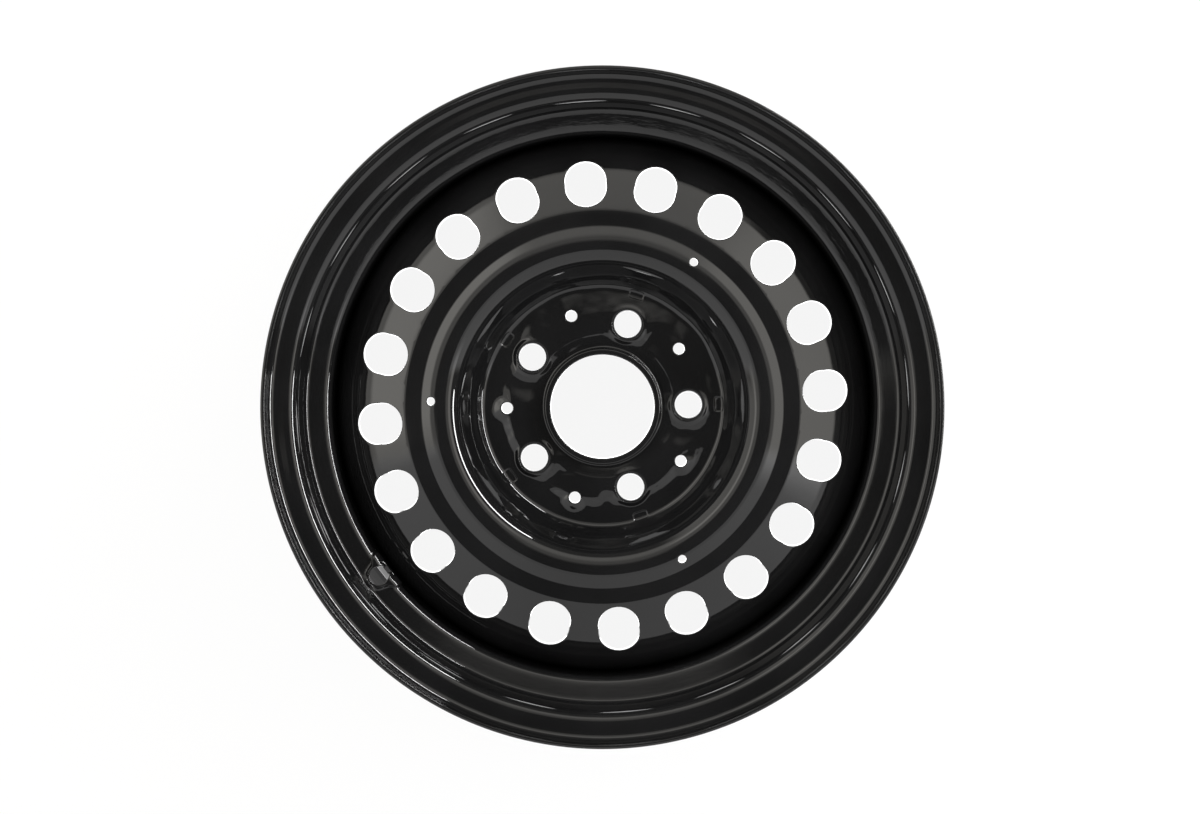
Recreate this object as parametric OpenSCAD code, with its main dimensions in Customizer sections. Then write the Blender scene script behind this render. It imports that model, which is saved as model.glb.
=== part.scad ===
// Pressed steel road wheel: a roll-formed rim with a pressed disc pushed into its well and welded there.
// Millimetres. The axis is Z, the outboard face looks up, and z = 0 is the plane that meets the hub.

/* [Rim] */
// diameter of the bead seats, tyre side, where they would meet the flanges
rim_d = 380.2; // [374:0.1:386]
// distance between the two flanges, tyre side
rim_w = 165.1; // [152.4:0.1:190]
// thickness of the rim sheet
rim_t = 2.7; // [2.3:0.1:3.2]
// distance from the middle of the rim out to the plane that meets the hub
inset = 38; // [30:0.5:45]
// height of the flanges above the bead seats
flange_h = 17.5; // [17:0.1:20]
// radius of the outward curl of the flanges, tyre side
flange_r = 9.5; // [8:0.1:10]
// width of the lip, from the flange to its edge
lip_w = 12; // [10.5:0.1:15]
// taper of the bead seats in degrees
seat_taper = 5; // [4:0.1:6]
// radius in the corner of bead seat and flange, tyre side
heel_r = 6; // [4:0.1:6.5]
// height of the corner that the bead hump is rounded from
hump_h = 2.4; // [1.5:0.1:3]
// depth of the well below the bead seats
well_h = 17.4; // [16.5:0.1:19]
// lean of the outboard wall of the well, in degrees from square to the axis
wall_lean = 22; // [16:0.5:28]

/* [Valve] */
// diameter of the hole for the valve
valve_d = 11.5; // [8.5:0.1:13]
// direction of the valve hole in degrees, in line with a bolt hole
valve_at = 216; // [0:72:288]
// width of the flat that is pressed round the valve hole
pad_w = 25; // [22:0.5:30]

/* [Disc] */
// thickness of the disc sheet
disc_t = 3.8; // [3.2:0.1:4.4]
// diameter of the centre bore
bore_d = 65.1; // [60:0.1:67]
// height of the bore collar above the hub plane
collar_h = 12; // [10.5:0.1:15]
// height of the raised bolt land above the hub face
land_h = 2.4; // [2:0.1:3]
// height of the bosses round the bolt holes above the land
boss_h = 1; // [0.8:0.1:1.4]
// radius of the crown of the stiffening ring
crown_r = 102.3; // [101:0.1:103]
// gap between the disc skirt and the well of the rim
skirt_gap = 0.05; // [0.02:0.01:0.2]
// how far the skirt reaches behind the hub plane
skirt_z = 22; // [19:0.5:25]

/* [Holes] */
// diameter of the bolt circle
bolt_pcd = 108; // [106:0.1:110]
// number of bolt holes
bolt_n = 5; // [4:1:5]
// diameter of the bolt holes
bolt_d = 16.8; // [14:0.1:17.5]
// diameter of the bolt seats at the face
seat_d = 19.6; // [18.6:0.1:20.4]
// diameter of the circle of small holes between the bolts
pin_pcd = 120.4; // [119:0.1:122]
// diameter of the small holes between the bolts
pin_d = 7.3; // [5:0.1:8]
// number of holes in the stiffening ring
ring_n = 3; // [2:1:6]
// diameter of the holes in the stiffening ring
ring_d = 5.2; // [3:0.1:6]
// number of vent holes
vent_n = 20; // [12:1:20]
// radius of the circle of vent holes
vent_at = 139.3; // [136:0.1:140]
// width of the vent holes across their flat sides
vent_w = 26.2; // [18:0.1:27]
// length of the vent holes along the radius
vent_l = 30.4; // [28:0.1:31]

/* [Welds] */
// number of weld beads
weld_n = 8; // [4:1:10]
// arc of one weld bead in degrees
weld_arc = 24; // [12:1:30]
// leg of the weld beads
weld_leg = 3.6; // [3:0.1:3.8]

/* [Hidden] */
$fn = 180;
arc_step = 6;
z_out = rim_w / 2 - inset;
z_in = -rim_w / 2 - inset;
seat_r = rim_d / 2;
top_r = seat_r + flange_h;
well_r = seat_r - well_h;
taper = tan(seat_taper);
hump_at = 22;
hump_from = 15.5;
hump_r = seat_r - hump_at * taper + hump_h;
wall_z = z_out - hump_at - (hump_r - well_r) * tan(wall_lean);
skirt_r = well_r - rim_t - skirt_gap;
bore_r = bore_d / 2;
land_z = disc_t + land_h;
bolt_r = bolt_pcd / 2;
boss_z = land_z + boss_h;
boss_r = seat_d / 2 + 0.6;

// Each corner of a bent sheet is [radius, height, radius of its bend].
rim_bends = [
    [top_r, z_out + lip_w, 0],
    [top_r, z_out, flange_r],
    [seat_r, z_out, heel_r],
    [seat_r - hump_from * taper, z_out - hump_from, 4],
    [hump_r, z_out - hump_at, 6.5],
    [well_r, wall_z, 5.5],
    [well_r, -30, 9],
    [seat_r - 4, -58, 15],
    [seat_r - 3.2, z_in + 27, 8],
    [hump_r - 0.4, z_in + hump_at - 0.5, 5],
    [seat_r - hump_from * taper, z_in + hump_from, 5],
    [seat_r, z_in, heel_r],
    [top_r, z_in, flange_r],
    [top_r, z_in - lip_w, 0]
];

// The wall of the stiffening ring leans 50 degrees at its foot and 62 above, and its far slope falls 20.
foot_r = 75.4;
knee_r = 83.5;
knee_z = disc_t + (knee_r - foot_r) * tan(50);
crown_b = 16;
crown_z = knee_z + (crown_r - crown_b * sin(62) - knee_r) * tan(62) + crown_b * (1 - cos(62));
far_r = crown_r + crown_b * sin(20);
far_z = crown_z - crown_b * (1 - cos(20));
peak_r = (far_z + far_r * tan(20) - knee_z + knee_r * tan(62)) / (tan(62) + tan(20));
peak_z = knee_z + (peak_r - knee_r) * tan(62);
shelf_r = 112.3;
shelf_z = far_z - (shelf_r - far_r) * tan(20);
cone_a = 17;
cone_r = shelf_r + 10.2;
edge_z = shelf_z - (skirt_r - cone_r) * tan(cone_a);
edge_b = 38.8;

disc_bends = [
    [bore_r + disc_t, collar_h, 0],
    [bore_r + disc_t, disc_t, 2.2],
    [44, disc_t, 6],
    [49, land_z, 6],
    [61, land_z, 6],
    [66.6, disc_t, 6],
    [foot_r, disc_t, 6],
    [knee_r, knee_z, 30],
    [peak_r, peak_z, crown_b],
    [shelf_r, shelf_z, 3],
    [cone_r, shelf_z, 5],
    [skirt_r, edge_z, edge_b],
    [skirt_r, -skirt_z, 0]
];

// Height of the sloping band at the vent holes.
vent_z = shelf_z - (vent_at - cone_r) * tan(cone_a);

// Where the valve hole is. The wall of the well is pressed flat there, towards the disc.
valve_r = well_r + 2.9;
pad_lean = 12;
pad_out = well_r + 10.5;
pad_in = well_r - 5.3;
pad_wall = 2.2;
pad_top = wall_z + (pad_out - well_r) * tan(wall_lean) + rim_t / cos(wall_lean);
valve_z = pad_top - (pad_out - valve_r) * tan(pad_lean);
pad_drop = rim_t / cos(pad_lean);

// Direction from one corner of a sheet to the next, in degrees.
function heading(p, q) = atan2(q[1] - p[1], q[0] - p[0]);

// Turn from one heading to another, between -180 and 180 degrees.
function turn(a, b) = (b - a) - 360 * round((b - a) / 360);

// Points of one bend, moved sideways by s, with the sheet running from a to b through p.
function bend(a, p, b, s) =
    let (
        h = heading(a, p),
        t = turn(h, heading(p, b)),
        g = t > 0 ? 1 : -1,
        k = p[2] * tan(abs(t) / 2),
        c = [p[0] - k * cos(h) - g * p[2] * sin(h), p[1] - k * sin(h) + g * p[2] * cos(h)],
        n = max(1, ceil(abs(t) / arc_step))
    )
    [for (i = [0 : n])
        let (w = h + t * i / n)
        [c[0] + (g * p[2] - s) * sin(w), c[1] - (g * p[2] - s) * cos(w)]];

// One face of a bent sheet, at the distance s to the left of its corners.
function face(b, s) =
    let (
        m = len(b) - 1,
        h0 = heading(b[0], b[1]),
        h1 = heading(b[m - 1], b[m])
    )
    concat(
        [[b[0][0] - s * sin(h0), b[0][1] + s * cos(h0)]],
        [for (i = [1 : m - 1]) each bend(b[i - 1], b[i], b[i + 1], s)],
        [[b[m][0] - s * sin(h1), b[m][1] + s * cos(h1)]]
    );

function backwards(v) = [for (i = [len(v) - 1 : -1 : 0]) v[i]];

// A sheet of thickness t on the right of its corners, as a section.
module sheet(b, t) {
    polygon(concat(face(b, 0), backwards(face(b, -t))));
}

module around(n, first = 0) {
    for (i = [0 : n - 1]) rotate([0, 0, first + 360 * i / n]) children();
}

// Height of the pressed flat at the radius r.
function pad_z(r) = pad_top - (pad_out - r) * tan(pad_lean);

// A section drawn at the valve, w wide.
module at_valve(w) {
    rotate([0, 0, valve_at]) rotate([90, 0, 0]) translate([0, 0, -w / 2]) linear_extrude(w) children();
}

// The pressed flat as a solid, out to its seen faces.
module pad_face() {
    polygon([
        [pad_out, pad_top],
        [pad_in + 1.6, pad_z(pad_in + 1.6)],
        [pad_in, pad_z(pad_in) - 1.6],
        [pad_in, 9],
        [well_r - rim_t + 0.6, 5],
        [well_r - 1, 5],
        [well_r - 1, wall_z + 1],
        [pad_out, pad_top - 1.4]
    ]);
}

// The hollow behind the pressed flat, open to the tyre.
module pad_hollow() {
    polygon([
        [pad_out - 1.5, pad_z(pad_out - 1.5) - pad_drop],
        [pad_in + pad_wall, pad_z(pad_in + pad_wall) - pad_drop],
        [pad_in + pad_wall, 10.5],
        [well_r + 0.3, 6.5],
        [well_r + 5, 6.5],
        [pad_out + 1, wall_z - 2]
    ]);
}

// Rim, rolled from one strip.
module rim_band() {
    color("#151515") difference() {
        union() {
            rotate_extrude() sheet(rim_bends, rim_t);
            at_valve(pad_w) pad_face();
        }
        at_valve(pad_w - 2 * rim_t) pad_hollow();
        rotate([0, 0, valve_at]) translate([valve_r, 0, valve_z]) rotate([0, -pad_lean, 0])
            translate([0, 0, -8]) cylinder(h = 16, d = valve_d);
    }
}

// A round-ended slot along the radius, cut square through the sheet.
module vent() {
    move = (vent_l - vent_w) / 2;
    flat = 2 * sqrt(vent_w * vent_w / 4 - move * move) + 0.06;
    translate([vent_at, 0, vent_z]) rotate([0, cone_a, 0]) {
        translate([move, 0, -12]) cylinder(h = 24, d = vent_w);
        translate([-move, 0, -11]) cylinder(h = 22, d = vent_w);
        translate([-move, -flat / 2, -10]) cube([2 * move, flat, 20]);
    }
}

// Hole for a bolt, with its cone seat, as one turned shape.
module bolt_hole() {
    seat_z = boss_z - (seat_d - bolt_d) / 2 / tan(30);
    translate([bolt_r, 0, 0]) rotate_extrude() polygon([
        [0, -2],
        [bolt_d / 2, -2],
        [bolt_d / 2, seat_z],
        [seat_d / 2 + 2 * tan(30), boss_z + 2],
        [0, boss_z + 2]
    ]);
}

// Raised boss round a bolt hole, with sides at 45 degrees.
module bolt_boss() {
    foot = disc_t - 0.8;
    translate([bolt_r, 0, 0]) rotate_extrude() polygon([
        [0, foot],
        [boss_r + boss_z - foot, foot],
        [boss_r, boss_z],
        [0, boss_z]
    ]);
}

// Small mark pressed at the foot of the ring wall, beyond each bolt.
module foot_mark() {
    translate([70.6, -4.6, disc_t - 0.5]) cube([5.4, 9.2, 6]);
}

// Section of the disc. Behind the collar the sheet is pressed out square, so that the bore guides the hub
// from its very edge.
module disc_section() {
    flat = concat([[bore_r, disc_t, 0]], [for (i = [2 : len(disc_bends) - 1]) disc_bends[i]]);
    polygon(concat(face(disc_bends, 0), backwards(face(flat, -disc_t)), [[bore_r, collar_h]]));
}

// Pressed disc with collar, bolt land, stiffening ring, vents and skirt.
module wheel_disc() {
    color("#181818") difference() {
        union() {
            rotate_extrude() disc_section();
            around(bolt_n) bolt_boss();
        }
        around(bolt_n) bolt_hole();
        around(bolt_n) foot_mark();
        around(bolt_n, 180 / bolt_n) translate([pin_pcd / 2, 0, -2]) cylinder(h = 16, d = pin_d);
        around(ring_n, 56.8) translate([106.2, 0, 10]) cylinder(h = 40, d = ring_d);
        around(vent_n, 3.2) vent();
    }
}

// Fillet beads between the cut edge of the skirt and the well.
module disc_welds() {
    color("#1b1b1b") around(weld_n, -weld_arc / 2) rotate_extrude(angle = weld_arc)
        translate([well_r - rim_t, -skirt_z]) polygon([
            [-weld_leg, 0],
            [-weld_leg * 0.86, -weld_leg * 0.34],
            [-weld_leg * 0.64, -weld_leg * 0.64],
            [-weld_leg * 0.34, -weld_leg * 0.86],
            [0, -weld_leg],
            [0, 0]
        ]);
}

rim_band();
wheel_disc();
disc_welds();
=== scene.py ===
# %% [markdown]
# # A pressed steel road wheel
# The wheel is made of two sheets of steel. The rim is rolled from one strip, and the disc is pressed from one
# plate, pushed into the well of the rim and held there by eight short welds. Then the whole wheel is painted
# gloss black. This lesson makes both sheets from their sections, cuts the holes, lays the welds, mixes the
# paint and sets up a studio, all in the frame that the part already has.

# %% Open the frame
import math

import bmesh
import bpy
import numpy as np
from mathutils import Matrix, Vector, noise


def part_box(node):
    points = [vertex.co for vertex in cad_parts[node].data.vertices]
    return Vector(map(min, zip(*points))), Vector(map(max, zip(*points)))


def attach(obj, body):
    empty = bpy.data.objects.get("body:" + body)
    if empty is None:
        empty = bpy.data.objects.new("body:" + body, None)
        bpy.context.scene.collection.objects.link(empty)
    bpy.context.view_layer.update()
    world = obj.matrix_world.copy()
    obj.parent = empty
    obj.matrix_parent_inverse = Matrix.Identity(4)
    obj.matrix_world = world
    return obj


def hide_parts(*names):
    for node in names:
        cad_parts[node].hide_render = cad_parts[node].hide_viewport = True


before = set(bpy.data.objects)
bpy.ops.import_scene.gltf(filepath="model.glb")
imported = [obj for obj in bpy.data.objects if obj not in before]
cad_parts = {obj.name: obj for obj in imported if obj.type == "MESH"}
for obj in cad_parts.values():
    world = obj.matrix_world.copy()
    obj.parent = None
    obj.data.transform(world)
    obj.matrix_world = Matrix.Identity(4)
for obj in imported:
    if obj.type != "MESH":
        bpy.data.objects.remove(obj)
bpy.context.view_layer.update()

MM = 0.001
rim_low, rim_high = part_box("rim_band")
disc_low, disc_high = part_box("wheel_disc")
print("frame: rim", [round(v * 1000, 2) for v in rim_high], "disc", [round(v * 1000, 2) for v in disc_high])

# %% [markdown]
# ## Sizes
# A bent sheet is easiest to think of as a line of corners, each with a bend radius, because that is how the
# press tools are drawn. The first list is the tyre side of the rim and the second the outer face of the disc.
# Each corner is the distance from the axis, the height and the bend radius in millimetres. The outermost
# sizes are read from the frame, so the sheets end where the solids do. The outer bead seat ends in a low brow,
# from which the wall of the well falls inwards in two slopes that meet in a soft fold.

# %% Corners of the rim
rim_t = 2.7
lip_r = rim_high.x / MM
lip_top = rim_high.z / MM
lip_low = rim_low.z / MM
lip_w = 12.0
z_out = lip_top - lip_w
z_in = lip_low + lip_w
seat_r = lip_r - 17.5
seat_w = 15.5
well_r = seat_r - 17.4
taper = math.tan(math.radians(5.0))
seat_end = seat_r - seat_w * taper
hump_r = seat_r - 22 * taper + 2.4


def rise(run, degrees):
    """Height gained along a slope of so many degrees."""
    return run * math.tan(math.radians(degrees))


brow_r = hump_r - 2.0
brow_z = z_out - 24.0
fold_r = well_r + 2.7
fold_z = brow_z - rise(brow_r - fold_r, 20.5)
wall_z = fold_z - rise(fold_r - well_r, 23.5)

rim_bends = [
    (lip_r, lip_top, 0),
    (lip_r, z_out, 9.5),
    (seat_r, z_out, 6),
    (seat_end - 0.6, z_out - seat_w, 4),
    (brow_r, brow_z, 6.5),
    (fold_r, fold_z, 15),
    (well_r, wall_z, 3.2),
    (well_r, -30, 9),
    (seat_r - 4, -58, 15),
    (seat_r - 3.2, z_in + 27, 8),
    (hump_r - 0.4, z_in + 21.5, 5),
    (seat_end, z_in + seat_w, 5),
    (seat_r, z_in, 6),
    (lip_r, z_in, 9.5),
    (lip_r, lip_low, 0),
]
print(f"rim: {len(rim_bends)} corners, well radius {well_r:.2f}")

# %% Corners of the disc
disc_t = 3.8
bore_r = 32.55
land_z = disc_t + 2.4
foot_r = 75.4
knee_r = 83.5
crown_r = 102.3
crown_bend = 16
shelf_in = 112.3
shelf_out = 122.5
skirt_r = disc_high.x / MM
skirt_z = disc_low.z / MM
foot_slope, inner_slope, outer_slope, vent_slope = 50, 62, 20, 17


def crown_arc(degrees):
    """How far the crown's bend runs and drops from its top until it slopes by so many degrees."""
    w = math.radians(degrees)
    return crown_bend * math.sin(w), crown_bend * (1 - math.cos(w))


near_run, near_drop = crown_arc(inner_slope)
far_run, far_drop = crown_arc(outer_slope)
knee_z = disc_t + rise(knee_r - foot_r, foot_slope)
crown_z = knee_z + rise(crown_r - near_run - knee_r, inner_slope) + near_drop
far_r = crown_r + far_run
far_z = crown_z - far_drop
both_slopes = rise(1, inner_slope) + rise(1, outer_slope)
peak_r = (far_z + rise(far_r, outer_slope) - knee_z + rise(knee_r, inner_slope)) / both_slopes
peak_z = knee_z + rise(peak_r - knee_r, inner_slope)
shelf_z = far_z - rise(shelf_in - far_r, outer_slope)
cone_z = shelf_z - rise(skirt_r - shelf_out, vent_slope)

disc_bends = [
    (bore_r + disc_t, 12, 0),
    (bore_r + disc_t, disc_t, 2.2),
    (44, disc_t, 6),
    (49, land_z, 6),
    (61, land_z, 6),
    (66.6, disc_t, 6),
    (foot_r, disc_t, 6),
    (knee_r, knee_z, 30),
    (peak_r, peak_z, crown_bend),
    (shelf_in, shelf_z, 3),
    (shelf_out, shelf_z, 5),
    (skirt_r, cone_z, 38.8),
    (skirt_r, skirt_z, 0),
]
print(f"disc: {len(disc_bends)} corners, crown at {crown_z:.2f}")

# %% [markdown]
# ## From corners to a line
# A bend tool rolls a true arc between two straight runs. A Bevel modifier could round the corners, but then
# the inner and outer faces would not stay one sheet thickness apart. So the line is worked out here: straight
# runs in short steps, arcs by angle, with the direction square to the sheet kept at every point. The second
# face of the sheet is then the same points moved along that direction.


# %% Bent line
class BentLine:
    """Points, side directions and running length along a line of rounded corners.

    Straight runs go in steps of up to reach millimetres, and bends in steps of up to swing degrees."""

    def __init__(self, corners, reach, swing):
        points, sides = [], []

        def put(p, h):
            if not points or math.dist(p, points[-1]) > 1e-4:
                points.append(p)
                sides.append((-math.sin(h), math.cos(h)))

        def run_to(q, h):
            p = points[-1]
            steps = max(1, math.ceil(math.dist(p, q) / reach))
            for i in range(1, steps + 1):
                put((p[0] + (q[0] - p[0]) * i / steps, p[1] + (q[1] - p[1]) * i / steps), h)

        def heading(a, b):
            return math.atan2(b[1] - a[1], b[0] - a[0])

        put(corners[0][:2], heading(corners[0], corners[1]))
        for a, p, b in zip(corners, corners[1:], corners[2:]):
            h = heading(a, p)
            turn = (heading(p, b) - h + math.pi) % (2 * math.pi) - math.pi
            g = 1 if turn > 0 else -1
            cut = p[2] * math.tan(abs(turn) / 2)
            run_to((p[0] - cut * math.cos(h), p[1] - cut * math.sin(h)), h)
            centre = (
                p[0] - cut * math.cos(h) - g * p[2] * math.sin(h),
                p[1] - cut * math.sin(h) + g * p[2] * math.cos(h),
            )
            steps = max(1, math.ceil(max(math.degrees(abs(turn)) / swing, abs(turn) * p[2] / reach)))
            for i in range(1, steps + 1):
                w = h + turn * i / steps
                put((centre[0] + g * p[2] * math.sin(w), centre[1] - g * p[2] * math.cos(w)), w)
        run_to(corners[-1][:2], heading(corners[-2], corners[-1]))
        self.p = np.array(points)
        self.n = np.array(sides)
        gaps = np.linalg.norm(np.diff(self.p, axis=0), axis=1)
        self.s = np.concatenate([[0.0], np.cumsum(gaps)])
        self.length = self.s[-1]

    def at(self, s, depth):
        """Distance from the axis and height, at the length s and the depth below the first face."""
        r = np.interp(s, self.s, self.p[:, 0]) - np.interp(s, self.s, self.n[:, 0]) * depth
        z = np.interp(s, self.s, self.p[:, 1]) - np.interp(s, self.s, self.n[:, 1]) * depth
        return float(r), float(z)

    def find(self, r, first, last):
        """Length at which the line crosses the distance r, between two lengths where r only grows or falls."""
        keep = (self.s >= first) & (self.s <= last)
        rr, ss = self.p[keep, 0], self.s[keep]
        if rr[0] > rr[-1]:
            rr, ss = rr[::-1], ss[::-1]
        return float(np.interp(r, rr, ss))

    def between(self, first, last, reach=9.0):
        """Lengths of the line's own points between two lengths, with the ends, and no gap wider than reach."""
        stops = [first] + [s for s in self.s if first + 0.25 < s < last - 0.25] + [last]
        out = [first]
        for a, b in zip(stops, stops[1:]):
            steps = math.ceil((b - a) / reach)
            out += [a + (b - a) * k / steps for k in range(1, steps + 1)]
        return out


RIM_REACH, RIM_SWING = 4.0, 7.5
rim_line = BentLine(rim_bends, RIM_REACH, RIM_SWING)
disc_line = BentLine(disc_bends, 2.4, 6.0)
for name, line in (("rim", rim_line), ("disc", disc_line)):
    print(f"{name} line: {line.length:.1f} mm in {len(line.s)} points")

# %% [markdown]
# ## A sector with holes
# The disc repeats itself: five times round the bolts, three times in the stiffening ring and twenty times in
# the band of vents. So only one sector of each is modelled, as a grid of quads on both faces of the sheet. A
# Boolean would cut the holes too, but it leaves thin triangles that spoil a gloss reflection. Here a block of
# quads is taken out for each hole, and rings of quads lead from the block's outline to the rolled edge of the
# hole, through the sheet and out again at the back.


# %% A hole
class Hole:
    """One hole or pressed mark: its place, its outline by angle, and its edge in steps.

    Each step of the edge is how far it stands out from the outline, the face that it is measured from, and how
    far it lies inside that face. The room is half the block of quads that the hole takes up, in millimetres
    along the sheet and degrees round the axle. A function, spot, turns a place and a step into a point."""

    def __init__(self, angle, length, radius, lean, outline, edge, room, rings, spot, floor=False):
        self.angle, self.length, self.radius, self.lean = angle, length, radius, math.radians(lean)
        self.outline, self.edge, self.room, self.rings = outline, edge, room, rings
        self.spot, self.floor = spot, floor

    def flat(self, r, degrees):
        """Place on the hole's own flat drawing, along the radius and across it."""
        w = math.radians(degrees - self.angle)
        return (r * math.cos(w) - self.radius) / math.cos(self.lean), r * math.sin(w)

    def point(self, a, b, face, inside):
        """The way back, from the flat drawing to a point in space."""
        x = self.radius + a * math.cos(self.lean)
        return self.spot(math.hypot(x, b), self.angle + math.degrees(math.atan2(b, x)), face, inside)


def round_edge(ball, draft=0.0):
    """Edge steps of a punched hole, rolled over on both faces, and narrower by the draft at the back."""
    steps = [(ball * (1 - math.sin(w)), ball * (1 - math.cos(w))) for w in (0, 0.5, 1.05, math.pi / 2)]
    return [(q, 0, d) for q, d in steps] + [(q - draft, 1, d) for q, d in reversed(steps)]


print("steps of a rolled edge:", len(round_edge(0.5)))

# %% A sector of sheet
EDGE_BALL = 0.9


class Sector:
    """Both faces of a sheet over some lengths and angles, with holes and rounded end edges."""

    def __init__(self, place, rows, columns, thick, holes=(), start=False, end=False):
        self.place, self.thick = place, thick
        self.verts, self.faces = [], []
        self.rows, self.columns = list(rows), list(columns)
        if start:
            self.rows[0] += EDGE_BALL
        if end:
            self.rows[-1] -= EDGE_BALL
        first = self.face(0.0)
        second = self.face(thick)
        taken = set()
        for hole in holes:
            taken |= self.cut(hole, first, second)
        for grid, side in ((first, 0), (second, 1)):
            for i in range(len(self.rows) - 1):
                for j in range(len(self.columns) - 1):
                    if (i, j, side) not in taken:
                        self.faces.append((grid[i][j], grid[i][j + 1], grid[i + 1][j + 1], grid[i + 1][j]))
        if start:
            self.edge(first[0], second[0], self.rows[0], -1)
        if end:
            self.edge(first[-1], second[-1], self.rows[-1], 1)

    def keep(self, xyz):
        self.verts.append(xyz)
        return len(self.verts) - 1

    def point(self, s, depth, degrees):
        return self.keep(self.place(s, depth, degrees))

    def face(self, depth):
        return [[self.point(s, depth, w) for w in self.columns] for s in self.rows]

    def strip(self, a, b, closed=False):
        count = len(a) if closed else len(a) - 1
        for k in range(count):
            m = (k + 1) % len(a)
            self.faces.append((a[k], a[m], b[m], b[k]))

    def edge(self, first, second, s, way):
        """Rounded cut edge from one face over to the other."""
        last = first
        steps = [math.radians(22.5 * k) for k in range(1, 5)]
        path = [(s + way * EDGE_BALL * math.sin(w), EDGE_BALL * (1 - math.cos(w))) for w in steps]
        path += [(p, self.thick - q) for p, q in reversed(path)]
        for p, q in path:
            row = [self.point(p, q, w) for w in self.columns]
            self.strip(last, row)
            last = row
        self.strip(last, second)

    def cut(self, hole, first, second):
        """Leave out a block of quads and lead rings from its border to the hole and through the sheet."""
        i0 = max(i for i, s in enumerate(self.rows) if s <= hole.length - hole.room[0])
        i1 = min(i for i, s in enumerate(self.rows) if s >= hole.length + hole.room[0])
        j0 = max(j for j, w in enumerate(self.columns) if w <= hole.angle - hole.room[1])
        j1 = min(j for j, w in enumerate(self.columns) if w >= hole.angle + hole.room[1])
        border = [(i0, j) for j in range(j0, j1)] + [(i, j1) for i in range(i0, i1)]
        border += [(i1, j) for j in range(j1, j0, -1)] + [(i, j0) for i in range(i1, i0, -1)]

        def drawn(grid):
            """The block's border on the hole's flat drawing."""
            out = []
            for i, j in border:
                x, y, z = self.verts[grid[i][j]]
                out.append(hole.flat(math.hypot(x, y) / MM, math.degrees(math.atan2(y, x))))
            return out

        turns = [math.atan2(b, a) for a, b in drawn(first)]

        def loop(grow, face, inside, shrink=1.0):
            out = []
            for w in turns:
                size = (hole.outline(w) + grow) * shrink
                out.append(self.keep(hole.point(size * math.cos(w), size * math.sin(w), face, inside)))
            return out

        def lead(grid, face, grow):
            """Rings from the block's border to the edge of the hole, on one face."""
            last = [grid[i][j] for i, j in border]
            places = drawn(grid)
            for k in range(1, hole.rings + 1):
                t = k / hole.rings
                t = t * (1.5 - 0.5 * t)
                ring = []
                for (a, b), w in zip(places, turns):
                    size = hole.outline(w) + grow
                    x, y = size * math.cos(w), size * math.sin(w)
                    ring.append(self.keep(hole.point(a + (x - a) * t, b + (y - b) * t, face, 0.0)))
                self.strip(last, ring, True)
                last = ring
            return last

        last = lead(first, 0, hole.edge[0][0])
        sides = (0,) if hole.floor else (0, 1)
        for grow, face, inside in hole.edge[1 : None if hole.floor else -1]:
            ring = loop(grow, face, inside)
            self.strip(last, ring, True)
            last = ring
        if hole.floor:
            grow, face, inside = hole.edge[-1]
            for shrink in (0.66, 0.33):
                ring = loop(grow, face, inside, shrink)
                self.strip(last, ring, True)
                last = ring
            middle = self.keep(hole.point(0.0, 0.0, face, inside))
            for k in range(len(last)):
                self.faces.append((last[k], last[(k + 1) % len(last)], middle))
        else:
            self.strip(last, lead(second, 1, hole.edge[-1][0]), True)
        return {(i, j, k) for i in range(i0, i1) for j in range(j0, j1) for k in sides}

    def object(self, name):
        mesh = bpy.data.meshes.new(name)
        mesh.from_pydata(self.verts, [], self.faces)
        out = bpy.data.objects.new(name, mesh)
        bpy.context.scene.collection.objects.link(out)
        return out


print("cut edges are rounded by", EDGE_BALL, "mm")

# %% [markdown]
# ## Repeating a sector round the axle
# The press tool is divided like a clock face, and Geometry Nodes can do the same: put one point for each
# place, turn it about the axle, and set the sector there. The tree joins the seams itself, so that the sheet
# is one skin again. The number of places, the step between them and the first angle are inputs, which lets
# one tree serve the bolts, the ring, the vents, the rim and the welds.


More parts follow.
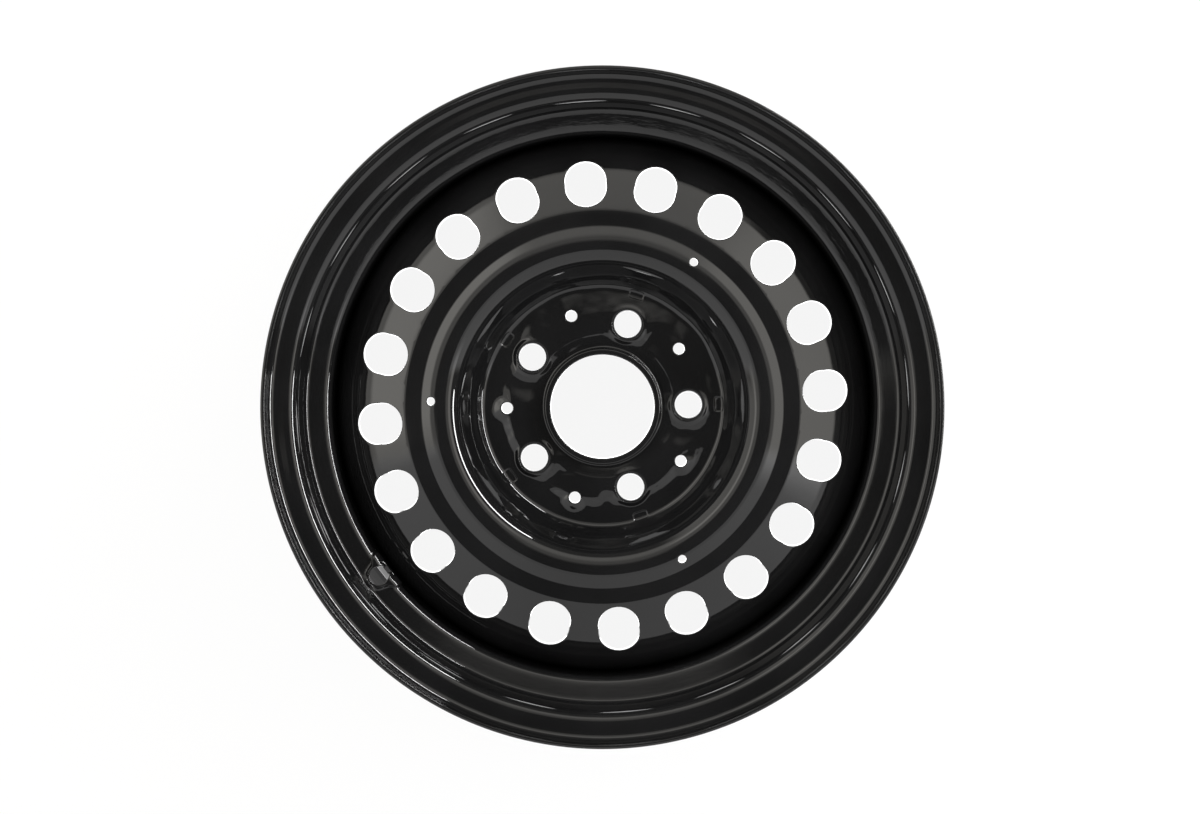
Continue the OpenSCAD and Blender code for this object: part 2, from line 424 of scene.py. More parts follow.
# %% Geometry Nodes tree for a round pattern
def round_pattern_tree():
    tree = bpy.data.node_groups.new("Round pattern", "GeometryNodeTree")
    face = tree.interface
    face.new_socket("Geometry", in_out="INPUT", socket_type="NodeSocketGeometry")
    count = face.new_socket("Places", in_out="INPUT", socket_type="NodeSocketInt")
    step = face.new_socket("Step", in_out="INPUT", socket_type="NodeSocketFloat")
    first = face.new_socket("First angle", in_out="INPUT", socket_type="NodeSocketFloat")
    seam = face.new_socket("Seam", in_out="INPUT", socket_type="NodeSocketFloat")
    paint = face.new_socket("Paint", in_out="INPUT", socket_type="NodeSocketMaterial")
    face.new_socket("Geometry", in_out="OUTPUT", socket_type="NodeSocketGeometry")
    nodes, link = tree.nodes, tree.links.new
    given, made = nodes.new("NodeGroupInput"), nodes.new("NodeGroupOutput")
    points = nodes.new("GeometryNodePoints")
    place = nodes.new("GeometryNodeInstanceOnPoints")
    index = nodes.new("GeometryNodeInputIndex")
    angle = nodes.new("ShaderNodeMath")
    angle.operation = "MULTIPLY_ADD"
    spin = nodes.new("ShaderNodeCombineXYZ")
    real = nodes.new("GeometryNodeRealizeInstances")
    merge = nodes.new("GeometryNodeMergeByDistance")
    coat = nodes.new("GeometryNodeSetMaterial")
    link(given.outputs["Places"], points.inputs["Count"])
    link(index.outputs[0], angle.inputs[0])
    link(given.outputs["Step"], angle.inputs[1])
    link(given.outputs["First angle"], angle.inputs[2])
    link(angle.outputs[0], spin.inputs["Z"])
    link(points.outputs[0], place.inputs["Points"])
    link(given.outputs["Geometry"], place.inputs["Instance"])
    link(spin.outputs[0], place.inputs["Rotation"])
    link(place.outputs[0], real.inputs[0])
    link(real.outputs[0], merge.inputs["Geometry"])
    link(given.outputs["Seam"], merge.inputs["Distance"])
    link(merge.outputs[0], coat.inputs["Geometry"])
    link(given.outputs["Paint"], coat.inputs["Material"])
    link(coat.outputs[0], made.inputs[0])
    names = {"places": count, "step": step, "first": first, "seam": seam, "paint": paint}
    return tree, {key: socket.identifier for key, socket in names.items()}


pattern_tree, pattern_input = round_pattern_tree()
print("round pattern:", len(pattern_tree.nodes), "nodes")

# %% Use of the tree
SEAM = 0.000004


def repeated(sector, places, step, paint, first=0.0):
    """A plain mesh of the sector set round the axle."""
    turn = sector.modifiers.new("Round pattern", "NODES")
    turn.node_group = pattern_tree
    turn[pattern_input["places"]] = places
    turn[pattern_input["step"]] = math.radians(step)
    turn[pattern_input["first"]] = math.radians(first)
    turn[pattern_input["seam"]] = SEAM
    turn[pattern_input["paint"]] = paint
    graph = bpy.context.evaluated_depsgraph_get()
    mesh = bpy.data.meshes.new_from_object(sector.evaluated_get(graph))
    plain = sector.data
    bpy.data.objects.remove(sector)
    bpy.data.meshes.remove(plain)
    return mesh


def one_skin(name, meshes, paint):
    """Join meshes at their seams into one closed piece with its faces outwards."""
    work = bmesh.new()
    for mesh in meshes:
        work.from_mesh(mesh)
        bpy.data.meshes.remove(mesh)
    bmesh.ops.remove_doubles(work, verts=work.verts, dist=SEAM)
    loose = [v for v in work.verts if not v.link_faces]
    bmesh.ops.delete(work, geom=loose, context="VERTS")
    bmesh.ops.recalc_face_normals(work, faces=work.faces)
    open_edges = sum(1 for e in work.edges if len(e.link_faces) != 2)
    for f in work.faces:
        f.smooth = True
        f.material_index = 0
    done = bpy.data.meshes.new(name)
    work.to_mesh(done)
    triangles = sum(len(f.verts) - 2 for f in work.faces)
    volume = work.calc_volume(signed=True)
    work.free()
    done.materials.clear()
    done.materials.append(paint)
    out = bpy.data.objects.new(name, done)
    bpy.context.scene.collection.objects.link(out)
    print(f"{name}: {triangles} triangles, {open_edges} open edges, {volume * 1e6:.1f} cm3")
    return out


print("seams close within", SEAM, "m")

# %% [markdown]
# ## Shader sums in Python
# Node trees are hard to read as a list of links. One small class wraps a socket, so that a line such as
# `0.1 + 0.05 * grain` adds its own Math nodes, and a method of the same class adds any other node with its
# settings and its inputs.


# %% Socket class
class Signal:
    def __init__(self, tree, socket=None):
        self.tree, self.socket = tree, socket

    def node(self, kind, settings=None, inputs=None, out=0):
        made = self.tree.nodes.new(kind)
        for key, value in (settings or {}).items():
            setattr(made, key, value)
        for key, value in (inputs or {}).items():
            if isinstance(value, Signal):
                self.tree.links.new(value.socket, made.inputs[key])
            else:
                made.inputs[key].default_value = value
        return Signal(self.tree, made.outputs[out]) if made.outputs else made

    def math(self, operation, *values):
        return self.node("ShaderNodeMath", {"operation": operation}, dict(enumerate(values)))

    def __add__(self, other):
        return self.math("ADD", self, other)

    def __radd__(self, other):
        return self.math("ADD", other, self)

    def __sub__(self, other):
        return self.math("SUBTRACT", self, other)

    def __rsub__(self, other):
        return self.math("SUBTRACT", other, self)

    def __mul__(self, other):
        return self.math("MULTIPLY", self, other)

    def __rmul__(self, other):
        return self.math("MULTIPLY", other, self)

    def __truediv__(self, other):
        return self.math("DIVIDE", self, other)

    def __pow__(self, other):
        return self.math("POWER", self, other)

    def ramp(self, low, high):
        """0 below low, 1 above high, smooth between."""
        return self.node(
            "ShaderNodeMapRange",
            {"interpolation_type": "SMOOTHSTEP"},
            {"Value": self, "From Min": low, "From Max": high, "To Min": 0.0, "To Max": 1.0},
        )

    def mix(self, first, second):
        """First colour where this is 0, second where it is 1."""
        made = self.tree.nodes.new("ShaderNodeMix")
        made.data_type = "RGBA"
        self.tree.links.new(self.socket, made.inputs[0])
        for slot, value in ((6, first), (7, second)):
            if isinstance(value, Signal):
                self.tree.links.new(value.socket, made.inputs[slot])
            else:
                made.inputs[slot].default_value = value
        return Signal(self.tree, made.outputs[2])

    def parts(self):
        """The three numbers of a vector."""
        made = self.tree.nodes.new("ShaderNodeSeparateXYZ")
        self.tree.links.new(self.socket, made.inputs[0])
        return [Signal(self.tree, socket) for socket in made.outputs]


def blank_material(name):
    """A material with an empty tree, and a signal that adds nodes to it."""
    material = bpy.data.materials.new(name)
    material.use_nodes = True
    material.node_tree.nodes.clear()
    return material, Signal(material.node_tree)


print("socket class ready")

# %% [markdown]
# ## Black wheel paint
# The real coat is thick black paint, dipped and then sprayed. It is glossy, but it is never a mirror: it
# dries with a fine orange peel, it pools a little into slow waves on the flat parts, and the steel below
# keeps the marks of rolling. Real displacement would need a very fine mesh, so these go into a Bump node. The
# rim has marks that run round the wheel, so its grain is read on the distance from the axis and the height,
# with the angle counting for little.


# %% Paint
def wheel_paint(name, base, dullness, peel, wave, rolled):
    """Black paint with a roughness, and heights in metres of its peel, its slow waves and the rolling marks."""
    material, start = blank_material(name)
    place = start.node("ShaderNodeTexCoord", out=3)
    x, y, z = place.parts()
    reach = (x * x + y * y) ** 0.5
    angle = start.math("ARCTAN2", y, x)

    def grain(vector, scale, detail, rough=0.5):
        return start.node(
            "ShaderNodeTexNoise",
            {"noise_dimensions": "3D"},
            {"Vector": vector, "Scale": scale, "Detail": detail, "Roughness": rough},
        )

    fine = grain(place, 420.0, 2.0)
    slow = grain(place, 55.0, 1.0)
    rolling = start.node("ShaderNodeCombineXYZ", None, {0: angle * 0.035, 1: reach, 2: z})
    streak = grain(rolling, 330.0, 3.0, 0.6)
    height = fine * peel + slow * wave + streak * rolled
    bump = start.node("ShaderNodeBump", None, {"Strength": 1.0, "Distance": 1.0, "Height": height})
    cloud = grain(place, 18.0, 3.0)
    shade = cloud.ramp(0.3, 0.7).mix((*[v * 0.8 for v in base], 1.0), (*[v * 1.25 for v in base], 1.0))
    dull = dullness + 0.03 * cloud.ramp(0.35, 0.75) + 0.015 * fine.ramp(0.5, 0.8)
    shader = start.node(
        "ShaderNodeBsdfPrincipled",
        None,
        {"Base Color": shade, "Roughness": dull, "Normal": bump, "IOR": 1.5},
    )
    start.node("ShaderNodeOutputMaterial", None, {"Surface": shader})
    return material


BLACK = (0.0044, 0.0044, 0.0046)
BEAD_BLACK = (0.004, 0.004, 0.0042)
rim_paint = wheel_paint("rim_paint", BLACK, dullness=0.03, peel=0.000006, wave=0.00006, rolled=0.000024)
disc_paint = wheel_paint("disc_paint", BLACK, dullness=0.03, peel=0.000006, wave=0.00006, rolled=0.0)
weld_paint = wheel_paint("weld_paint", BEAD_BLACK, dullness=0.12, peel=0.00003, wave=0.0001, rolled=0.0)
print("paints:", rim_paint.name, disc_paint.name, weld_paint.name)

# %% [markdown]
# ## The disc
# The disc is a plate with a collar round the bore, a raised land for the bolts, a high stiffening ring, a
# sloping band of vents and a skirt that goes into the rim. A Screw modifier would turn the section, but the
# land is not even: it stands level round the bolts, dips beside them and ends in a ragged edge. Gloss paint
# shows all of that, so a function of the distance from the axle and the angle gives the height of the outer
# face there. The back stays as the line has it.

# %% Lengths along the disc
FLAT_FROM, FLAT_TO = 37.0, 168.0
flat_first = float(disc_line.s[np.argmax(disc_line.p[:, 0] > FLAT_FROM)])
flat_last = float(disc_line.s[np.argmax(disc_line.p[:, 0] > FLAT_TO)])
back_r = disc_line.p[:, 0] - disc_line.n[:, 0] * disc_t
back_z = disc_line.p[:, 1] - disc_line.n[:, 1] * disc_t


def disc_find(r):
    """Length along the disc at the distance r from the axle, outside the bore's collar."""
    return disc_line.find(r, flat_first, flat_last)


s_hub = disc_find(80.0)
s_ring = disc_find(115.0)
print(f"disc bands end at lengths {s_hub:.1f}, {s_ring:.1f} and {disc_line.length:.1f}")


# %% Uneven land
def smooth(t):
    """0 below 0, 1 above 1, and an even curve between."""
    t = min(1.0, max(0.0, t))
    return t * t * (3 - 2 * t)


def ease(t):
    """0 below 0, 1 above 1, and straight between, with rounded ends."""

    def lift(v):
        return 0.5 * (v + math.sqrt(v * v + 0.004))

    return lift(t) - lift(t - 1)


BOLT_R = 54.0
SEAT_R = 9.8
PIN_R = 60.2
BOLT_STEP = 72
LAND_H = 1.9
LAND_FROM, LAND_EDGE, LAND_TO = 37, 58.6, 79
PLATE_FROM, PLATE_TO = 41, 70
CRISP_SIDE = 235


def land_wave(r, degrees):
    """Height that the uneven land round the bolts and pins adds to the outer face, over the plain line."""
    if not LAND_FROM < r < LAND_TO:
        return 0.0
    line = disc_line.at(disc_find(r), 0)[1]
    plate = disc_t if PLATE_FROM < r < PLATE_TO else line
    w = math.radians(degrees)
    where = Vector((r * math.cos(w), r * math.sin(w), 3.0))
    ragged = noise.noise(where / 9.0) + 0.5 * noise.noise(where / 4.0)
    pin = math.radians(degrees % BOLT_STEP - BOLT_STEP / 2)
    pin_away = math.hypot(r * math.cos(pin) - PIN_R, r * math.sin(pin))
    past = min(r - LAND_EDGE, pin_away - 4.0) + ragged
    crisp = smooth((math.cos(math.radians(degrees - CRISP_SIDE)) + 0.35) / 0.4)
    inner = 0.85 * min(1.0, max(0.0, (r - 37.2) / 7.5)) + 0.15 * smooth((r - 44.6) / 1.3)
    land = LAND_H * inner * (1 - ease(past / (16.0 - 11.0 * crisp)))
    bolt = math.radians(BOLT_STEP * round(degrees / BOLT_STEP))
    x, y = where.x - BOLT_R * math.cos(bolt), where.y - BOLT_R * math.sin(bolt)
    away = math.hypot(x, y)
    below = smooth((0.1 - y / max(away, 1.0)) / 0.7)
    dip = ease((away - SEAT_R + 0.9 * ragged) / 7.0) * (1 - smooth((away - 17) / 14)) * below
    land *= 1 - 0.95 * dip
    height = land + (LAND_H - land) * (1 - smooth((away - 9.4) / 3.5))
    calm = smooth((away - 10.2) / 2.5) * smooth((r - LAND_FROM) / 4) * smooth((LAND_TO - r) / 5)
    uneven = 0.2 * noise.noise(where / 13.0) + 0.06 * noise.noise(where / 6.0)
    return plate - line + height * smooth((LAND_TO - r) / 6) + uneven * calm


def on_axis(r, degrees, z):
    """Point in metres at a distance from the axle, an angle and a height."""
    w = math.radians(degrees)
    return r * math.cos(w) * MM, r * math.sin(w) * MM, z * MM


def disc_place(s, depth, degrees):
    """Point of the disc at a length along its line and a depth below the outer face."""
    r, z = disc_line.at(s, depth)
    return on_axis(r, degrees, z + (land_wave(r, degrees) if depth < 0.01 else 0.0))


def square_to_hub(r, degrees, face, inside):
    """Point of a hole that is punched along the axle."""
    if face == 0:
        return on_axis(r, degrees, disc_line.at(disc_find(r), 0)[1] + land_wave(r, degrees) - inside)
    keep = (disc_line.s > flat_first) & (disc_line.s < flat_last)
    return on_axis(r, degrees, float(np.interp(r, back_r[keep], back_z[keep])) + inside)


print(f"the bore's edge stands at {disc_place(0.0, 0.0, 0.0)[2] / MM:.2f} mm")

# %% [markdown]
# ### Hub
# The bolt seats are cones of 60 degrees, pressed after the hole is punched, so the hole steps in from the
# seat. The marks at the foot of the ring wall are shallow dents with rounded corners, so they have a floor in
# place of a back edge. The hub is made whole, because its land differs from bolt to bolt.

# %% Hub of the disc
DISC_TURN = 1.5
PIN_HOLE_R = 3.65
MARK_R = 73.3
MARK_A, MARK_B = 2.7, 4.6


def mark_outline(w):
    """A rectangle with rounded corners that reaches MARK_A along the radius and MARK_B across it."""
    c, q = abs(math.cos(w)), abs(math.sin(w))
    return (c**5 / MARK_A**5 + q**5 / MARK_B**5) ** -0.2


bolt_edge = [
    (0.3, 0, 0.0),
    (0.08, 0, 0.04),
    (-0.1, 0, 0.22),
    (-1.30, 0, 2.30),
    (-1.4, 0, 2.65),
    (-1.4, 1, 0.5),
    (-1.26, 1, 0.15),
    (-0.95, 1, 0.0),
]
mark_edge = [(0.35, 0, 0.0), (0.1, 0, 0.08), (-0.25, 0, 0.4), (-0.6, 0, 0.5)]
pin_edge = round_edge(0.5)
s_bolt, s_pin, s_mark = disc_find(BOLT_R), disc_find(PIN_R), disc_find(MARK_R)
hub_holes = []
for at in range(0, 360, BOLT_STEP):
    hub_holes += [
        Hole(at, s_bolt, BOLT_R, 0, lambda w: SEAT_R, bolt_edge, (14.6, 15.8), 12, square_to_hub),
        Hole(at + BOLT_STEP / 2, s_pin, PIN_R, 0, lambda w: PIN_HOLE_R, pin_edge, (5.2, 5.0), 5, square_to_hub),
        Hole(at, s_mark, MARK_R, 0, mark_outline, mark_edge, (3.7, 4.6), 3, square_to_hub, True),
    ]
hub_rows = disc_line.between(0.0, s_hub, 1.4)
hub_columns = [-18 + DISC_TURN * k for k in range(241)]
hub = Sector(disc_place, hub_rows, hub_columns, disc_t, hub_holes, start=True).object("hub")
hub_mesh = repeated(hub, 1, 0.0, disc_paint)
print("hub:", len(hub_holes), "holes and marks")

# %% [markdown]
# ### Ring and vents
# The stiffening ring has three small round holes. The vents are almost round, with two flat sides where
# neighbours come close. They are punched along the axle, although the sheet slopes there, so from the front
# their walls are seen edge on. A vent sector is a twentieth of the disc, and the ring sector is a third.

# %% Ring and vents of the disc
RING_HOLE_R = 106.2
ring_edge = round_edge(0.45)
s_ring_hole = disc_find(RING_HOLE_R)
ring_hole = Hole(56.8, s_ring_hole, RING_HOLE_R, 14, lambda w: 2.6, ring_edge, (4.0, 3.6), 4, square_to_hub)
ring_rows = disc_line.between(s_hub, s_ring)
ring_columns = [DISC_TURN * k for k in range(81)]
ring = Sector(disc_place, ring_rows, ring_columns, disc_t, [ring_hole]).object("ring sector")
ring_mesh = repeated(ring, 3, 120.0, disc_paint)

VENT_R = 138.9
VENT_END = 12.95
VENT_SPREAD = 2.1


def vent_outline(w):
    """A slot whose round ends have their centres a little to either side of the middle."""
    return VENT_SPREAD * abs(math.cos(w)) + math.sqrt(VENT_END**2 - (VENT_SPREAD * math.sin(w)) ** 2)


vent_edge = round_edge(0.35, 0.3)
s_vent = disc_find(VENT_R) + 2.3
vent = Hole(3.2, s_vent, VENT_R, vent_slope, vent_outline, vent_edge, (19.1, 6.2), 5, square_to_hub)
vent_rows = disc_line.between(s_ring, disc_line.length)
band_columns = [-6 + DISC_TURN * k for k in range(13)]
band = Sector(disc_place, vent_rows, band_columns, disc_t, [vent], end=True).object("vent sector")
band_mesh = repeated(band, 20, 18.0, disc_paint)
disc = one_skin("disc_skin", [hub_mesh, ring_mesh, band_mesh], disc_paint)

# %% [markdown]
# ## The rim
# The rim is one section all the way round, apart from the place where the wall of the well is pressed flat
# for the valve. The plain part is one sector set seventeen times. The eighteenth is made with the same rows
# of points, but near its middle they move over to a second line, which is the section through the pressed
# flat, and the hole goes through that.

# %% Pressed flat for the valve
pad_bends = rim_bends[:5] + [
    (184.6, 20.1, 9),
    (170.9, 17.1, 3.0),
    (170.9, 9.4, 5),
    (well_r, 4.4, 5),
] + rim_bends[7:]
pad_line = BentLine(pad_bends, RIM_REACH, RIM_SWING)


def length_of(line, r, z):
    """Length along a line of its point nearest to a place."""
    return float(line.s[np.argmin((line.p[:, 0] - r) ** 2 + (line.p[:, 1] - z) ** 2)])


leave = length_of(rim_line, brow_r, brow_z)
leave_pad = length_of(pad_line, brow_r, brow_z)
meet = length_of(rim_line, well_r, -6.0)
meet_pad = meet - rim_line.length + pad_line.length
VALVE_AT = 216.0
VALVE_R = 176.0
PAD_R = 8.0
PAD_FLARE = 5.0
PAD_RAMP = 2.8
print(f"the flat leaves the wall at {leave:.1f} mm and meets the well at {meet:.1f} mm")


def pad_share(r, degrees):
    """1 on the pressed flat, 0 on the plain wall: an arc outside the hole, then wider to a straight edge."""
    across = abs(r * math.sin(math.radians(degrees - VALVE_AT)))
    if r > VALVE_R:
        past = math.hypot(across, r - VALVE_R) - PAD_R
    else:
        past = across - PAD_R - PAD_FLARE * min(1.0, (VALVE_R - r) / 4.0)
    return smooth((PAD_RAMP / 2 - past) / PAD_RAMP)


def rim_place(s, depth, degrees):
    """Point of the rim, which goes over to the second line where it is pressed flat."""
    r, z = rim_line.at(s, depth)
    if leave < s < meet:
        along = leave_pad + (s - leave) * (meet_pad - leave_pad) / (meet - leave)
        share = pad_share(pad_line.at(along, rim_t)[0], degrees)
        r2, z2 = pad_line.at(along, depth)
        r, z = r + (r2 - r) * share, z + (z2 - z) * share
    return on_axis(r, degrees, z)


def valve_find(r):
    """Length along the rim at the distance r from the axle, on the pressed flat."""
    s = pad_line.find(r, leave_pad + 1, length_of(pad_line, 171.0, 15.0))
    return leave + (s - leave_pad) * (meet - leave) / (meet_pad - leave_pad)


def square_to_pad(r, degrees, face, inside):
    """Point of a hole that is punched square to the pressed flat."""
    return rim_place(valve_find(r), inside if face == 0 else rim_t - inside, degrees)


# %% Two sectors of the rim
rim_rows = rim_line.between(0.0, leave) + rim_line.between(leave, meet, 1.6)[1:]
rim_rows += rim_line.between(meet, rim_line.length)[1:]
plain_columns = [226 + 20 * k / 14 for k in range(15)]
plain = Sector(rim_place, rim_rows, plain_columns, rim_t, start=True, end=True).object("plain sector")
plain_mesh = repeated(plain, 17, 20.0, rim_paint)
valve_columns = [206, 207, 208, 209, 210] + [210 + 0.25 * k for k in range(1, 49)] + [223, 224, 225, 226]
s_valve = valve_find(VALVE_R)
valve = Hole(VALVE_AT, s_valve, VALVE_R, 12.0, lambda w: 5.75, pin_edge, (6.6, 2.3), 4, square_to_pad)
seat = Sector(rim_place, rim_rows, valve_columns, rim_t, [valve], start=True, end=True)
seat_mesh = repeated(seat.object("valve sector"), 1, 0.0, rim_paint)
rim = one_skin("rim_skin", [plain_mesh, seat_mesh], rim_paint)

# %% [markdown]
# ## Welds
# Eight beads tie the cut edge of the skirt to the well, on the side that faces the car. A robot lays each in
# one go, and the pool freezes in small ripples. One bead is drawn as a rounded fillet that swells and shrinks
# along its way, and the same tree that turned the vents sets it eight times.

# %% Weld beads
WELD_LEG = 3.6
WELD_ARC = 24.0
WELD_GAP = 0.02
RIPPLES = 40


def weld_bead():
    """One bead in the corner between the well and the skirt, thinner at both ends."""
    verts, faces = [], []
    steps, turns = 96, 9
    for k in range(steps + 1):
        t = k / steps
        angle = WELD_ARC * (t - 0.5)
        end = min(1.0, 0.25 + 9 * min(t, 1 - t)) ** 0.5
        ripple = 1.0 - 0.07 * (0.5 + 0.5 * math.cos(t * RIPPLES * 2 * math.pi))
        size = WELD_LEG * end * ripple
        corner = (well_r - rim_t - WELD_GAP, skirt_z - WELD_GAP)
        ring = [corner]
        for m in range(turns):
            w = math.pi + 0.5 * math.pi * m / (turns - 1)
            belly = 1.0 - 0.16 * math.sin(2 * (w - math.pi))
            ring.append((corner[0] + size * belly * math.cos(w), corner[1] + size * belly * math.sin(w)))
        verts += [on_axis(r, angle, z) for r, z in ring]
    width = turns + 1
    for k in range(steps):
        for m in range(width):
            n = (m + 1) % width
            a, b = k * width, (k + 1) * width
            faces.append((a + m, a + n, b + n, b + m))
    faces.append(tuple(range(width)))
    faces.append(tuple(range(steps * width, (steps + 1) * width)))
    mesh = bpy.data.meshes.new("weld bead")
    mesh.from_pydata(verts, [], faces)
    out = bpy.data.objects.new("weld bead", mesh)
    bpy.context.scene.collection.objects.link(out)
    return out


welds = one_skin("weld_beads", [repeated(weld_bead(), 8, 45.0, weld_paint)], weld_paint)

# %% [markdown]
# ## Into the frame
# Each piece takes the place of the solid of the same name and rides on the part's only body.

# %% Replace the solids
for made, node, paint_slot in (
    (rim, "rim_band", "rim_paint"),
    (disc, "wheel_disc", "disc_paint"),
    (welds, "disc_welds", "weld_paint"),
):
    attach(made, "root")
    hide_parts(node)
print("replaced:", rim.name, disc.name, welds.name)

# %% [markdown]
# ## Studio
# Gloss black shows nothing but its surroundings, so the room matters as much as the paint. A photo of a room
# could light it, but a few smooth steps are easier to move. Rays from the camera see plain white. Reflections
# of the horizon see a pale wall towards the lower side of the picture and dark on the other sides.

# %% Room
world = bpy.data.worlds.new("Studio")
bpy.context.scene.world = world
world.use_nodes = True
world.node_tree.nodes.clear()
room = Signal(world.node_tree)
rays = room.node("ShaderNodeLightPath").socket.node
camera_ray, glossy_ray = (Signal(room.tree, rays.outputs[k]) for k in (0, 3))
haze = room.node("ShaderNodeBackground", None, {"Color": (1.0, 0.985, 0.96, 1.0), "Strength": 0.9})
aim_x, aim_y = room.node("ShaderNodeTexCoord", out=0).parts()[:2]
lower_side = (aim_x * -0.26 + aim_y * -0.97).ramp(0.05, 0.35)
far_wall = lower_side.mix((0.12, 0.12, 0.12, 1.0), (0.92, 0.91, 0.89, 1.0))
horizon = room.node("ShaderNodeBackground", None, {"Color": far_wall, "Strength": 1.0})
around = room.node("ShaderNodeMixShader", None, {0: glossy_ray, 1: haze, 2: horizon})
plain_white = room.node("ShaderNodeBackground", None, {"Color": (1.0, 1.0, 1.0, 1.0), "Strength": 1.0})
seen = room.node("ShaderNodeMixShader", None, {0: camera_ray, 1: around, 2: plain_white})
room.node("ShaderNodeOutputWorld", None, {"Surface": seen})
print("room:", len(room.tree.nodes), "nodes")

# %% [markdown]
# ### Cloth
# A sheet of cloth hangs over the wheel, lit unevenly from behind, and the paint mirrors it. It is darkest
# straight above, where the camera looks through. Towards the lower side a pale field starts at a sharp edge,
# and the other sides brighten slowly, most of all on the left. Each field is a sum of steps on the angle away
# from the upright, which is read from the place on the cloth. The camera does not see the cloth, and it casts
# no shadow.


# %% Cloth
def sheet_object(name, half, z, material):
    """A level square sheet for the studio, linked into the scene."""
    mesh = bpy.data.meshes.new(name)
    corners = [(-half, -half, z), (half, -half, z), (half, half, z), (-half, half, z)]
    mesh.from_pydata(corners, [], [(0, 1, 2, 3)])
    mesh.materials.append(material)
    sheet = bpy.data.objects.new(name, mesh)
    bpy.context.scene.collection.objects.link(sheet)
    return sheet


TENT_Z = 0.7
SHEET_HALF = 4.0
tent_cloth, cloth = blank_material("tent_cloth")
east, north = cloth.node("ShaderNodeTexCoord", out=3).parts()[:2]
level = (east * east + north * north + 0.000001) ** 0.5
tilt = cloth.math("ARCTANGENT", level / TENT_Z) * (180 / math.pi)


def towards(degrees, start, full):
    """1 towards a compass direction, fading to 0 between two angles away from it."""
    w = math.radians(degrees)
    along = (east * math.cos(w) + north * math.sin(w)) / level
    return along.ramp(math.cos(math.radians(start)), math.cos(math.radians(full)))


low_side = towards(268, 76, 70)
right_side = towards(14, 46, 28)
left_side = towards(156, 44, 26)
top_side = (1 - low_side) * (1 - right_side) * (1 - left_side)
low_wall = tilt.ramp(23.5, 25) * 0.85 + tilt.ramp(33, 35) * (0.05 + 0.45 * (east * east) / (level * level))
right_panel = tilt.ramp(22, 30) * 0.9 + tilt.ramp(36, 42) * 1.5 - tilt.ramp(49, 54) * 2.3
left_panel = tilt.ramp(22, 29) + tilt.ramp(38, 45) * 2.0 - tilt.ramp(48, 54) * 1.6
top_panel = tilt.ramp(12, 27) * 0.75 + tilt.ramp(30, 46) * 0.75 - tilt.ramp(54, 64) * 1.35
glow = 0.07 + low_side * low_wall + right_side * right_panel + left_side * left_panel + top_side * top_panel
green = glow * (0.975 + 0.02 * low_side)
blue = glow * (0.92 + 0.07 * low_side)
warm = cloth.node("ShaderNodeCombineXYZ", None, {0: glow, 1: green, 2: blue})
shine = cloth.node("ShaderNodeEmission", None, {"Color": warm, "Strength": 1.0})
cloth.node("ShaderNodeOutputMaterial", None, {"Surface": shine})
tent = sheet_object("tent", SHEET_HALF, TENT_Z, tent_cloth)
tent.visible_camera = False
tent.visible_shadow = False
print(f"cloth: {TENT_Z} m up, {len(cloth.tree.nodes)} nodes")

# %% [markdown]
# ### Floor
# The wheel lies on a white floor. Seen by the camera, in a reflection or through something clear it is almost
# plain white, and the rest is matt, so it keeps the shadow. Its underside is clear, which lets the back of
# the wheel be seen from below.

# %% Floor
floor_white, ground = blank_material("floor_white")
paths = ground.node("ShaderNodeLightPath").socket.node
to_camera, mirrored, through = (Signal(ground.tree, paths.outputs[k]) for k in (0, 3, 6))
direct = ground.math("MINIMUM", to_camera + mirrored + through, 1.0)
matt = ground.node("ShaderNodeBsdfDiffuse", None, {"Color": (0.82, 0.82, 0.82, 1.0)})
bright = ground.node("ShaderNodeEmission", None, {"Color": (1.0, 1.0, 1.0, 1.0), "Strength": 1.0})
ground_mix = ground.node("ShaderNodeMixShader", None, {0: direct * 0.9, 1: matt, 2: bright})
underside = ground.node("ShaderNodeNewGeometry", out=6)
clear = ground.node("ShaderNodeBsdfTransparent")
one_sided = ground.node("ShaderNodeMixShader", None, {0: underside, 1: ground_mix, 2: clear})
ground.node("ShaderNodeOutputMaterial", None, {"Surface": one_sided})
floor = sheet_object("floor", SHEET_HALF, rim_low.z - 0.0002, floor_white)
print(f"floor at {floor.data.vertices[0].co.z:.4f} m")

# %% [markdown]
# ## Lamps
# A wide lamp overhead gives the floor its soft shadow and is kept out of the paint. A narrow strip at the
# right draws the thin bright lines along the bends on the left. A small lamp on the floor stands for the light
# that comes up through the openings, which the rim and the ring wall mirror as short dashes.


# %% Lamps
def area_lamp(name, shape, size, energy):
    data = bpy.data.lights.new(name, "AREA")
    data.shape, data.size, data.energy = shape, size, energy
    made = bpy.data.objects.new(name, data)
    bpy.context.scene.collection.objects.link(made)
    return made


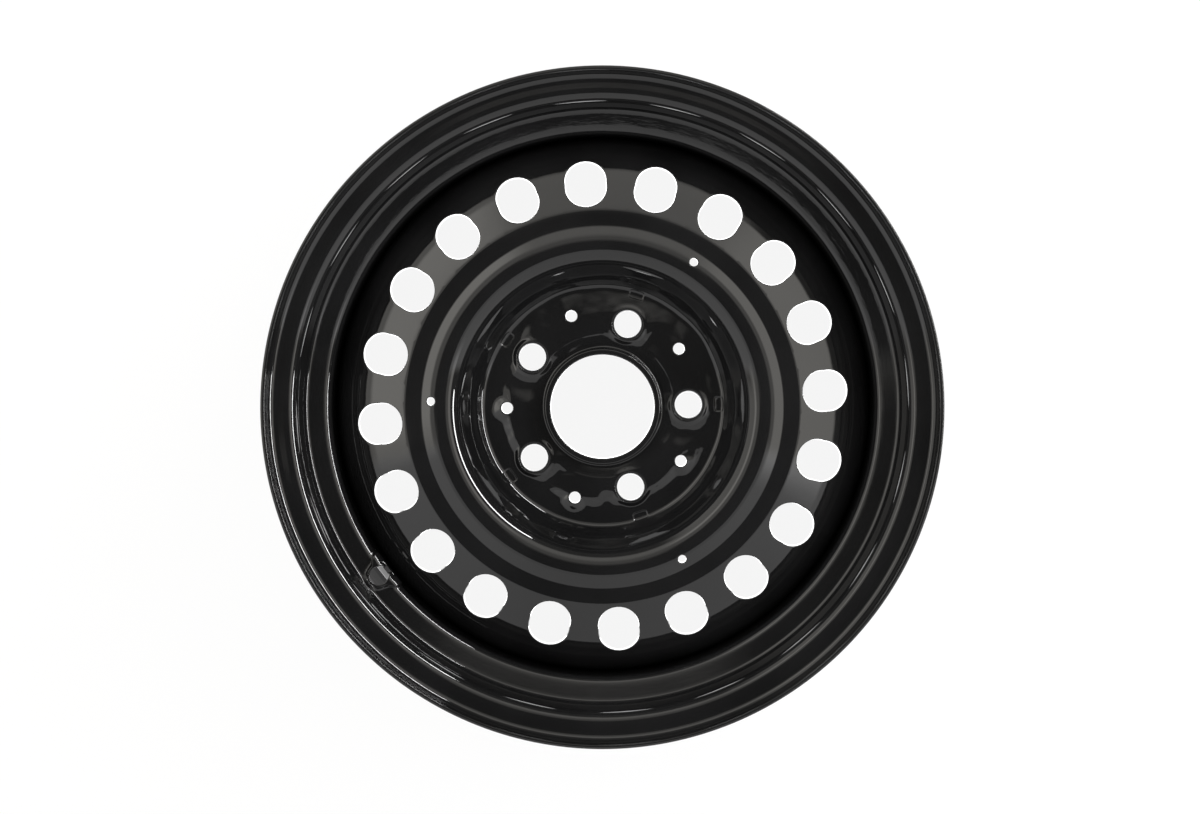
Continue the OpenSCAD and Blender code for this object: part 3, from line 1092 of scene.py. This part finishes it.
lamp = area_lamp("overhead", "DISK", 2.4, 14.0)
lamp.location = (-0.5, 0.6, 2.6)
lamp.rotation_euler = (Vector((0, 0, 0)) - lamp.location).to_track_quat("-Z", "Y").to_euler()
lamp.visible_glossy = False

strip = area_lamp("strip", "RECTANGLE", 0.09, 12.0)
strip.data.size_y = 1.2
strip.location = (0.77, 0.36, 0.40)
aim = (Vector((-0.09, -0.04, 0.02)) - strip.location).normalized()
along = Vector((-0.42, 0.91, 0.0)).normalized()
strip.rotation_euler = Matrix((along.cross(-aim), along, -aim)).transposed().to_euler()

table = area_lamp("table", "DISK", 0.32, 1.0)
table.location = (0.0, 0.0, rim_low.z + 0.001)
table.rotation_euler = (math.pi, 0.0, 0.0)
table.visible_camera = False
print("lamps:", lamp.name, strip.name, table.name)

# %% [markdown]
# ## Camera
# The camera stands about 1.27 m in front of the lip, a little above the axle, as the shift between the front
# and the back of the wheel shows, and is turned by about one degree. It looks at the middle of the lip, and a
# lens shift puts that where the picture has it.

# %% Camera
PICTURE_W, PICTURE_H = 1200, 814
CENTRE_X, CENTRE_Y = 601.75, 409.5
SENSOR = 36.0
eye_data = bpy.data.cameras.new("eye")
eye = bpy.data.objects.new("eye", eye_data)
bpy.context.scene.collection.objects.link(eye)
bpy.context.scene.camera = eye
EYE = Vector((0.0144, 0.050, 1.3246))
LIP_MIDDLE = Vector((0.0, 0.0, 0.0565))
focal = 2093.6
roll = math.radians(-1.07)
back = (EYE - LIP_MIDDLE).normalized()
upright = Vector((-math.sin(roll), math.cos(roll), 0.0))
side = upright.cross(back).normalized()
upright = back.cross(side)
turn = Matrix((side, upright, back)).transposed()
eye.matrix_world = Matrix.Translation(EYE) @ turn.to_4x4()
eye_data.sensor_width = SENSOR
eye_data.lens = focal * SENSOR / PICTURE_W
eye_data.shift_x = -(CENTRE_X - PICTURE_W / 2) / PICTURE_W
eye_data.shift_y = (CENTRE_Y - PICTURE_H / 2) / PICTURE_W
eye_data.clip_start = 0.05
bpy.context.scene.view_settings.view_transform = "Standard"
print(f"camera: lens {eye_data.lens:.2f} mm")
